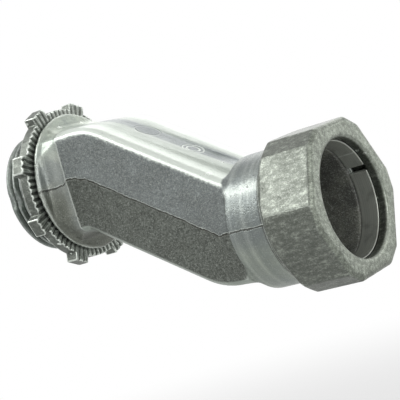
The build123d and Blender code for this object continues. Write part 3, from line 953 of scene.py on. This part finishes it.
class CONNECTOR_OT_casting(bpy.types.Operator):
    """Make the offset body's soft-edged casting and its dull passage"""
    bl_idname = "connector.casting"
    bl_label = "Offset casting"

    def execute(self, context):
        size = sizes()
        shape = merged_copy("offset_body")
        clear_thread_zones(shape, size)
        settle_crown(shape, size)
        skin = remeshed(shape, size.body_cell, 2)
        line = centre_line()
        for face in skin.faces:
            middle = face.calc_center_median()
            if middle.x > size.socket_stop:
                inside = across(middle, CONDUIT_AXIS).length < size.socket_reach
            else:
                inside = off_line(middle, line) < size.passage_reach
            face.material_index = 1 if inside else 0
        piece_from(skin, "offset_casting", "fitting", "body_casting", (casting_finish(), passage_finish()),
                   "offset_body")
        return {"FINISHED"}


class CONNECTOR_OT_body_threads(bpy.types.Operator):
    """Make the casting's two outer threads, on the hub and on the gland"""
    bl_idname = "connector.body_threads"
    bl_label = "Body threads"

    def execute(self, context):
        size = sizes()
        finish = cast_finish("Thread casting", finishes().thread, grain=0.6, specks=0.25, wear_and_highlight=0.40,
                             roughness=0.38, edge=(0.52, 0.60))
        end_gap, far_gap = 0.0001, 0.0002
        hub = thread_coil(HUB_AXIS, size.hub_pitch, HUB_END + end_gap, -far_gap, size.hub_root,
                          size.hub_crest, HUB_END + size.thread_start)
        lead_in(hub, HUB_AXIS, HUB_END, HUB_LEAD, size.hub_crest, size.hub_root)
        parting_flats(hub, HUB_AXIS, *HUB_FLATS)
        piece_from(hub, "hub_thread", "fitting", "body_casting", (finish,))
        gland = thread_coil(CONDUIT_AXIS, size.gland_pitch, size.collar_end + end_gap, BODY_MOUTH - far_gap,
                            size.gland_root, size.gland_crest, size.collar_end)
        lead_in(gland, CONDUIT_AXIS, BODY_MOUTH, GLAND_LEAD, size.gland_crest, size.gland_root)
        parting_flats(gland, CONDUIT_AXIS, *GLAND_FLATS)
        piece_from(gland, "gland_thread", "fitting", "body_casting", (finish,))
        return {"FINISHED"}


class CONNECTOR_OT_locknut(bpy.types.Operator):
    """Make the toothed locknut and the thread in its bore"""
    bl_idname = "connector.locknut"
    bl_label = "Locknut"

    def execute(self, context):
        size = sizes()
        finish = cast_finish("Locknut casting", finishes().locknut, grain=0.8, specks=0.30, wear_and_highlight=0.90,
                             roughness=0.40, edge=(0.505, 0.54))
        tip_zone, back_gap, front_gap = 0.0003, 0.0002, 0.0008
        shape = merged_copy("locknut")
        tip = max(across(vert.co, HUB_AXIS).length for vert in shape.verts)
        for vert in shape.verts:
            reach = across(vert.co, HUB_AXIS).length
            if reach > tip - tip_zone:
                set_radius(vert, HUB_AXIS, reach - size.lug_trim)
        skin = remeshed(shape, size.locknut_cell, 1)
        piece_from(skin, "toothed_locknut", "box_locknut", "locknut_casting", (finish,), "locknut")
        half_turn = HUB_END + size.thread_start + size.hub_pitch / 2
        thread = thread_coil(HUB_AXIS, size.hub_pitch, LOCKNUT_BACK + back_gap, LOCKNUT_FRONT - front_gap,
                             size.hub_crest + size.thread_gap, size.hub_root + size.thread_gap, half_turn)
        piece_from(thread, "locknut_thread", "box_locknut", "locknut_casting", (finish,))
        return {"FINISHED"}


class CONNECTOR_OT_compression_ring(bpy.types.Operator):
    """Make the split steel ring"""
    bl_idname = "connector.compression_ring"
    bl_label = "Compression ring"

    def execute(self, context):
        shape = merged_copy("compression_ring")
        turn = Matrix.Rotation(sizes().ring_turn, 3, "X")
        bmesh.ops.rotate(shape, verts=shape.verts, cent=CONDUIT_AXIS, matrix=turn)
        skin = remeshed(shape, sizes().ring_cell, 2)
        piece_from(skin, "split_ring", "ring", "ring_steel", (ring_finish(),), "compression_ring")
        return {"FINISHED"}


class CONNECTOR_OT_gland_nut(bpy.types.Operator):
    """Make the hexagon compression nut and the thread in its bore"""
    bl_idname = "connector.gland_nut"
    bl_label = "Compression nut"

    def execute(self, context):
        size = sizes()
        finish = cast_finish("Nut casting", finishes().nut, grain=0.9, specks=0.40, wear_and_highlight=0.70,
                             roughness=0.36, edge=(0.515, 0.56), front_x=NUT_FRONT)
        near_back, back_gap, ring_gap = 0.0001, 0.0003, 0.0002
        lip_end = NUT_BACK + size.nut_lip
        shape = merged_copy("compression_nut")
        for vert in shape.verts:
            reach = across(vert.co, CONDUIT_AXIS).length
            inward = size.nut_back_r - reach
            if vert.co.x < lip_end + TOUCH and near_back < inward < size.nut_lip_zone:
                set_radius(vert, CONDUIT_AXIS, size.nut_lip_r)
            elif vert.co.x < NUT_BACK + size.nut_bevel_zone and inward < near_back:
                vert.co.x = max(lip_end, vert.co.x - size.nut_bevel_trim)
                if inward > -near_back:
                    set_radius(vert, CONDUIT_AXIS, size.nut_flat_r)
        skin = remeshed(shape, size.nut_cell, 3)
        piece_from(skin, "hexagon_nut", "gland_nut", "nut_casting", (finish,), "compression_nut")
        half_turn = size.collar_end + size.gland_pitch / 2
        thread = thread_coil(CONDUIT_AXIS, size.gland_pitch, NUT_BACK + back_gap, RING_BACK - ring_gap,
                             size.gland_crest + size.thread_gap, size.gland_root + size.thread_gap, half_turn)
        piece_from(thread, "nut_thread", "gland_nut", "nut_casting", (finish,))
        return {"FINISHED"}


STEPS = (CONNECTOR_OT_stage, CONNECTOR_OT_casting, CONNECTOR_OT_body_threads, CONNECTOR_OT_locknut,
         CONNECTOR_OT_compression_ring, CONNECTOR_OT_gland_nut)
GROUPS = {"connector_sizes": ConnectorSizes, "connector_finishes": ConnectorFinishes,
          "connector_studio": ConnectorStudio}


class CONNECTOR_PT_panel(bpy.types.Panel):
    """Lists the connector's steps, sizes, colours and studio"""
    bl_idname = "CONNECTOR_PT_panel"
    bl_label = "Offset connector"
    bl_space_type = "VIEW_3D"
    bl_region_type = "UI"
    bl_category = "Connector"

    def draw(self, context):
        for step in STEPS:
            self.layout.operator(step.bl_idname)
        for name, group in GROUPS.items():
            for value in group.__annotations__:
                self.layout.prop(getattr(context.scene, name), value)


CLASSES = (*GROUPS.values(), *STEPS, CONNECTOR_PT_panel)


def register():
    for item in CLASSES:
        bpy.utils.register_class(item)
    for name, group in GROUPS.items():
        setattr(bpy.types.Scene, name, bpy.props.PointerProperty(type=group))


def unregister():
    for name in reversed(GROUPS):
        delattr(bpy.types.Scene, name)
    for item in reversed(CLASSES):
        bpy.utils.unregister_class(item)


def main():
    register()
    for step in STEPS:
        group, name = step.bl_idname.split(".")
        getattr(getattr(bpy.ops, group), name)()


if __name__ == "__main__":
    main()
